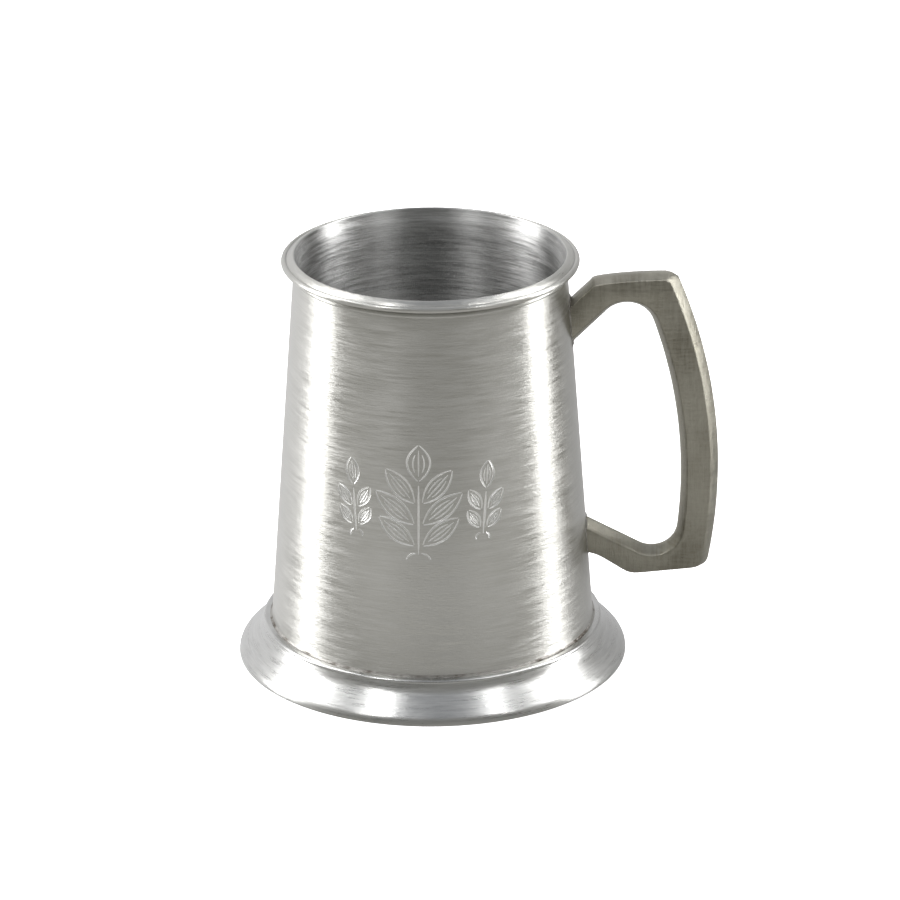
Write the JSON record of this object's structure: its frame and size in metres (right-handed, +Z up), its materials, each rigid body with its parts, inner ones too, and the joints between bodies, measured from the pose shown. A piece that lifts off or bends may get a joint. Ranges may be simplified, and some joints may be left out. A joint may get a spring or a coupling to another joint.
{
  "type": "pewter tankard",
  "caption": "Open one-pint pewter tankard: tapered wall with a rolled lip, flared foot and a D-shaped cast handle.",
  "frame": {"origin": "middle of the foot's ring, in the plane it rests on", "axes": "+Z up along the axis of the wall, +X towards the handle"},
  "size_m": [0.1381, 0.112, 0.1212],
  "materials": {
    "spun_pewter": "satin brushed pewter",
    "cast_pewter": "satin as-cast pewter",
    "solder": "dull soft solder"
  },
  "bodies": {
    "root": {"body_shell": "spun_pewter", "rim_band": "spun_pewter", "base_disc": "spun_pewter", "base_solder_seam": "solder", "foot_skirt": "spun_pewter", "foot_solder_seam": "solder", "handle": "cast_pewter", "handle_solder_upper": "solder", "handle_solder_lower": "solder"}
  },
  "joints": []
}
